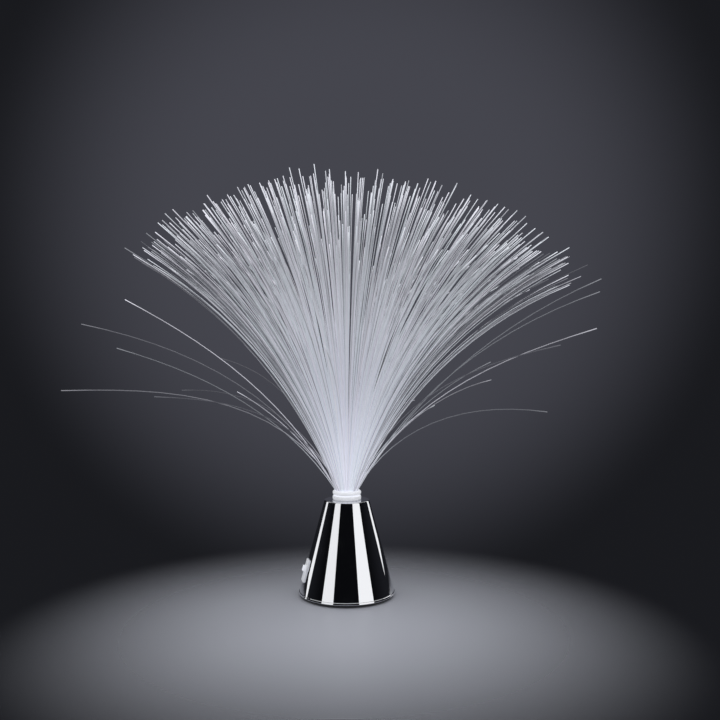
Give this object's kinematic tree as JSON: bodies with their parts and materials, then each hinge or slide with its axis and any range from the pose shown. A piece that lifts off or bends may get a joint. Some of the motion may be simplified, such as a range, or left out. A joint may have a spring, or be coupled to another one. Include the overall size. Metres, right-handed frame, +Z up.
{
  "type": "fiber optic lamp",
  "caption": "Battery table lamp with a spray of light fibres plugged into a mirror-plated cone, with a slide switch on its flank and a hinged battery door underneath.",
  "frame": {"origin": "centre of the plane that the foot pads rest on, on the cone's axis", "axes": "+Z up along the cone's axis, +Y away from the picture's viewer, -X towards the flank with the switch"},
  "size_m": [0.3829, 0.3666, 0.3292],
  "materials": {
    "plated_cone": "polished",
    "black_plastic": "satin",
    "white_plastic": "satin",
    "black_rubber": "matte",
    "zinc_steel": "satin",
    "nickel": "satin",
    "cell_wrap": "satin",
    "board_green": "satin",
    "resistor_body": "satin",
    "red_lens": "gloss",
    "green_lens": "gloss",
    "blue_lens": "gloss",
    "red_wire": "satin",
    "white_wire": "satin",
    "black_wire": "satin",
    "light_fibre": "gloss"
  },
  "bodies": {
    "base": {"cone_shell": "plated_cone", "bottom_cover": "black_plastic", "switch_housing": "black_plastic", "socket_lock_ring": "black_plastic", "control_chip": "black_plastic", "socket_collar": "white_plastic", "light_cup": "white_plastic", "switch_bezel": "white_plastic", "foot_pad_1": "black_rubber", "foot_pad_2": "black_rubber", "foot_pad_3": "black_rubber", "foot_pad_4": "black_rubber", "cover_screw_1": "zinc_steel", "cover_screw_2": "zinc_steel", "cover_screw_3": "zinc_steel", "cover_screw_4": "zinc_steel", "board_screw_1": "zinc_steel", "board_screw_2": "zinc_steel", "board_screw_3": "zinc_steel", "switch_screw_1": "zinc_steel", "switch_screw_2": "zinc_steel", "contact_terminal_positive": "nickel", "contact_terminal_negative": "nickel", "contact_link_left": "nickel", "contact_link_right": "nickel", "contact_spring_1": "nickel", "contact_spring_2": "nickel", "contact_spring_3": "nickel", "switch_terminal_1": "nickel", "switch_terminal_2": "nickel", "switch_terminal_3": "nickel", "battery_cell_1": "cell_wrap", "battery_cell_2": "cell_wrap", "battery_cell_3": "cell_wrap", "led_board": "board_green", "resistor": "resistor_body", "led_red": "red_lens", "led_green": "green_lens", "led_blue": "blue_lens", "lead_positive": "red_wire", "lead_switched": "white_wire", "lead_negative": "black_wire"},
    "fibre_spray": {"fibre_ferrule": "white_plastic", "fibre_bundle_1": "light_fibre", "fibre_bundle_2": "light_fibre", "fibre_bundle_3": "light_fibre", "fibre_bundle_4": "light_fibre", "fibre_bundle_5": "light_fibre", "fibre_bundle_6": "light_fibre"},
    "knob": {"switch_knob": "white_plastic"},
    "door": {"battery_door": "black_plastic"}
  },
  "joints": [
    {"name": "spray_lift", "type": "slide", "parent": "base", "child": "fibre_spray", "axis": [0, 0, 1], "range_m": [0, 0.013]},
    {"name": "switch_slide", "type": "slide", "parent": "base", "child": "knob", "axis": [-0.2587, -0.055, -0.9644], "range_m": [0, 0.003]},
    {"name": "door_hinge", "type": "hinge", "parent": "base", "child": "door", "pos_m": [-0.0267, 0, 0.0021], "axis": [0, 1, 0], "range_deg": [0, 90]}
  ]
}
